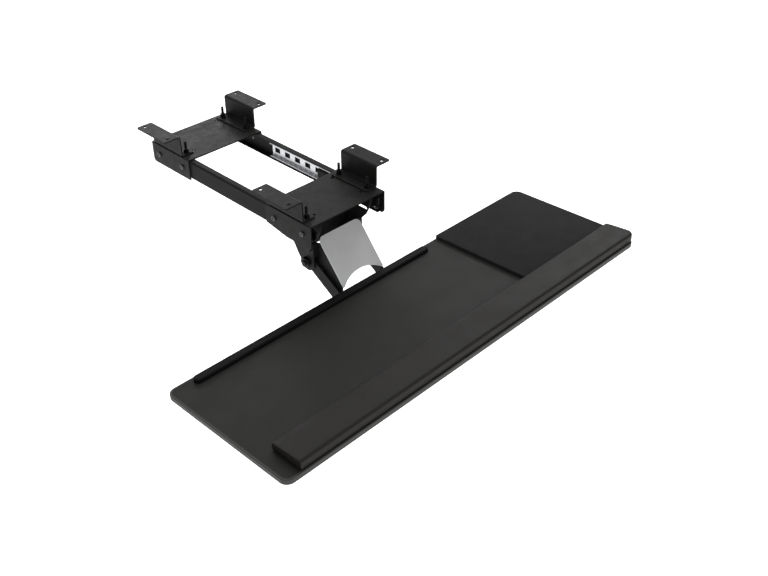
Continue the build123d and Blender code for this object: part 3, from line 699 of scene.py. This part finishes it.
# %% Swell the palm rest
def swell(piece, pinned, cap, pressure, frames):
    """Swells a closed piece with cloth pressure, and caps how far each point moves."""
    group = piece.vertex_groups.new(name="pinned")
    group.add(pinned, 1.0, "REPLACE")
    start = [point.co.copy() for point in piece.data.vertices]
    cloth = piece.modifiers.new("swelling", "CLOTH")
    cloth.settings.quality = 5
    cloth.settings.mass = 0.3
    cloth.settings.tension_stiffness = 20.0
    cloth.settings.compression_stiffness = 20.0
    cloth.settings.bending_stiffness = 8.0
    cloth.settings.use_pressure = True
    cloth.settings.uniform_pressure_force = pressure
    cloth.settings.vertex_group_mass = "pinned"
    cloth.settings.effector_weights.gravity = 0.0
    cloth.collision_settings.use_collision = False
    scene = bpy.context.scene
    for step in range(1, frames + 1):
        scene.frame_set(step)
    depsgraph = bpy.context.evaluated_depsgraph_get()
    swollen = [point.co.copy() for point in piece.evaluated_get(depsgraph).data.vertices]
    piece.modifiers.remove(cloth)
    scene.frame_set(1)
    furthest = 0.0
    for point, first, last in zip(piece.data.vertices, start, swollen):
        move = last - first
        if move.length > cap:
            move *= cap / move.length
        point.co = first + move
        furthest = max(furthest, move.length)
    piece.vertex_groups.remove(group)
    print(piece.name, "swelled by at most", round(furthest / MM, 2), "mm")


pinned_points = [
    point.index
    for point in palm_piece.data.vertices
    if point.co.z < palm_foot + 0.6 * MM
    or point.co.y > palm_back - 0.1 * MM
    or point.co.x < palm_low.x + 2 * MM
    or point.co.x > palm_high.x - corner_radius
]
swell(palm_piece, pinned_points, cap=0.3 * MM, pressure=0.6, frames=14)
tip_piece(palm_piece)

# %% [markdown]
# The pad is a sheet of soft foam with a cloth face. It starts as a box of the
# node's own size. The corner at the back of the tray gets the tray's radius, the
# others are nearly square, and the upper rim is eased as a cut sheet is.

# %% Cloth pad
pad_corner = 11 * MM
pad_small_corner = 1.2 * MM
pad_rim_round = 0.7 * MM
pad_low, pad_high = level_box("mouse_pad")
pad_shape = bmesh.new()
bmesh.ops.create_cube(pad_shape, size=1.0)
bmesh.ops.scale(pad_shape, verts=pad_shape.verts, vec=pad_high - pad_low)
bmesh.ops.translate(pad_shape, verts=pad_shape.verts, vec=(pad_high + pad_low) / 2)


def upright_edges(shape, x, y):
    """The upright edges of a bmesh at one corner."""
    return [
        edge
        for edge in shape.edges
        if all(
            abs(point.co.x - x) < 0.1 * MM and abs(point.co.y - y) < 0.1 * MM
            for point in edge.verts
        )
    ]


round_edges(pad_shape, upright_edges(pad_shape, pad_high.x, pad_high.y), pad_corner, 14)
for x, y in ((pad_low.x, pad_low.y), (pad_low.x, pad_high.y), (pad_high.x, pad_low.y)):
    round_edges(pad_shape, upright_edges(pad_shape, x, y), pad_small_corner, 3)
pad_rim = [
    edge
    for edge in pad_shape.edges
    if all(abs(point.co.z - pad_high.z) < 0.01 * MM for point in edge.verts)
]
round_edges(pad_shape, pad_rim, pad_rim_round, 3)
pad_piece = finish_piece("cloth_pad", pad_shape, pad_cloth, "tray")
sharpen_folds(pad_piece, 50.0)
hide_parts("mouse_pad")
tip_piece(pad_piece)
print("cloth pad faces:", len(pad_piece.data.polygons))

# %% [markdown]
# A stud's thread is a row of ridges down its shank. Spinning one saw toothed
# profile round the stud's axis gives the ridges and the flat head in a single
# closed turn, and the eight studs are copies of it.

# %% Threaded studs
stud_low, stud_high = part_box("bracket_studs")
stud_head_radius = 4 * MM
stud_head_height = 1 * MM
stud_radius = 2 * MM
stud_tip_height = 1.6 * MM
stud_tip_share = 0.55
thread_start = 4.4 * MM
thread_pitch = 0.8 * MM
thread_depth = 0.28 * MM
bracket_pitch = 54 * MM
stud_x = stud_high.x - stud_head_radius
front_row = stud_low.y + stud_head_radius
rear_row = stud_high.y - stud_head_radius


def stud_profile():
    """The outline of a stud from the foot of its head to its tip, as radius and height."""
    head_top = stud_low.z + stud_head_height
    outline = [(0.0, stud_low.z), (stud_head_radius, stud_low.z), (stud_head_radius, head_top)]
    outline.append((stud_radius, head_top))
    height = stud_low.z + thread_start
    outline.append((stud_radius, height))
    while height < stud_high.z - stud_tip_height:
        outline.append((stud_radius - thread_depth, height + thread_pitch / 2))
        outline.append((stud_radius, height + thread_pitch))
        height += thread_pitch
    outline.append((stud_radius * stud_tip_share, stud_high.z))
    outline.append((0.0, stud_high.z))
    return outline


def spun(shape, outline, x, y, steps=20):
    """Spins an outline of radius and height round an upright axis."""
    points = [shape.verts.new((x + radius, y, z)) for radius, z in outline]
    rims = [shape.edges.new(pair) for pair in zip(points, points[1:])]
    bmesh.ops.spin(
        shape,
        geom=points + rims,
        cent=(x, y, 0),
        axis=(0, 0, 1),
        dvec=(0, 0, 0),
        angle=2 * math.pi,
        steps=steps,
        use_merge=True,
        use_duplicate=False,
    )


stud_shape = bmesh.new()
for side in (-1, 1):
    for y in (front_row, front_row + bracket_pitch, rear_row - bracket_pitch, rear_row):
        spun(stud_shape, stud_profile(), side * stud_x, y)
stud_piece = finish_piece("threaded_studs", stud_shape, black_zinc, "frame")
sharpen_folds(stud_piece, 35.0)
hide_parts("bracket_studs")
print("stud faces:", len(stud_piece.data.polygons))

# %% [markdown]
# The tilt knob is moulded with eight lobes for the fingers. A round blank is cut
# into many sides, points between the lobes are drawn in, both rims are rounded,
# and the outer face is inset and sunk. A round hub joins it to the shaft.

# %% Tilt knob
knob_low, knob_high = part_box("tilt_knob")
knob_y = (knob_low.y + knob_high.y) / 2
knob_z = (knob_low.z + knob_high.z) / 2
knob_radius = (knob_high.z - knob_low.z) / 2
knob_depth = 18 * MM
lobe_count = 8
lobe_share = 0.14
hub_radius = 9 * MM
hub_depth = 5.4 * MM
shaft_turn = Matrix.Rotation(math.pi / 2, 3, "Y")
knob_shape = bmesh.new()
bmesh.ops.create_cone(
    knob_shape,
    cap_ends=True,
    segments=128,
    radius1=knob_radius,
    radius2=knob_radius,
    depth=knob_depth,
)
for point in knob_shape.verts:
    angle = math.atan2(point.co.y, point.co.x)
    share = (1 + math.cos(lobe_count * angle)) / 2
    point.co.x *= 1 - lobe_share * share**3
    point.co.y *= 1 - lobe_share * share**3
knob_rims = [
    edge
    for edge in knob_shape.edges
    if abs(edge.verts[0].co.z - edge.verts[1].co.z) < MM
]
round_edges(knob_shape, knob_rims, 1.4 * MM, 4)
outer_face = max(knob_shape.faces, key=lambda face: face.calc_center_median().z)
bmesh.ops.inset_region(knob_shape, faces=[outer_face], thickness=4 * MM)
bmesh.ops.inset_region(knob_shape, faces=[outer_face], thickness=1 * MM, depth=-1.2 * MM)
bmesh.ops.rotate(knob_shape, verts=knob_shape.verts, matrix=shaft_turn)
blank_x = knob_high.x - knob_depth / 2
bmesh.ops.translate(knob_shape, verts=knob_shape.verts, vec=(blank_x, knob_y, knob_z))
hub = bmesh.ops.create_cone(
    knob_shape,
    cap_ends=True,
    segments=48,
    radius1=hub_radius,
    radius2=hub_radius,
    depth=hub_depth,
)
bmesh.ops.rotate(knob_shape, verts=hub["verts"], matrix=shaft_turn)
hub_x = knob_low.x + hub_depth / 2
bmesh.ops.translate(knob_shape, verts=hub["verts"], vec=(hub_x, knob_y, knob_z))
knob_piece = finish_piece("lobed_knob", knob_shape, knob_plastic, "knob")
sharpen_folds(knob_piece, 40.0)
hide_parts("tilt_knob")
print("knob faces:", len(knob_piece.data.polygons))

# %% [markdown]
# The tray hangs from a desk that isn't shown, so the floor lies well below it.
# A plain pale sheet far larger than the view keeps the background even.

# %% Floor
floor_reach = 14.0
floor_height = cad_low.z - 0.42
floor_shape = bmesh.new()
bmesh.ops.create_grid(floor_shape, x_segments=1, y_segments=1, size=floor_reach)
bmesh.ops.translate(floor_shape, verts=floor_shape.verts, vec=(0, 0, floor_height))
floor_mesh = bpy.data.meshes.new("studio_floor")
floor_shape.to_mesh(floor_mesh)
floor_shape.free()
floor_finish, _, floor_shader = new_finish("studio_floor", 0.9, specular=0.1)
floor_shader.inputs["Base Color"].default_value = (0.9, 0.9, 0.9, 1.0)
floor_shader.inputs["Emission Color"].default_value = (1.0, 1.0, 1.0, 1.0)
floor_shader.inputs["Emission Strength"].default_value = 0.8
floor_mesh.materials.append(floor_finish)
floor = bpy.data.objects.new("studio_floor", floor_mesh)
bpy.context.scene.collection.objects.link(floor)
floor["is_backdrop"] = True
print("floor lies at", round(floor_height, 3))

# %% [markdown]
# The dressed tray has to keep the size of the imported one.

# %% Compare the sizes and finish
dressed_low, dressed_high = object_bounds()
grown_by = max(
    max(a - b for a, b in zip(cad_low, dressed_low)),
    max(a - b for a, b in zip(dressed_high, cad_high)),
)
print("the dressed tray stands proud by", round(grown_by / MM, 2), "mm")
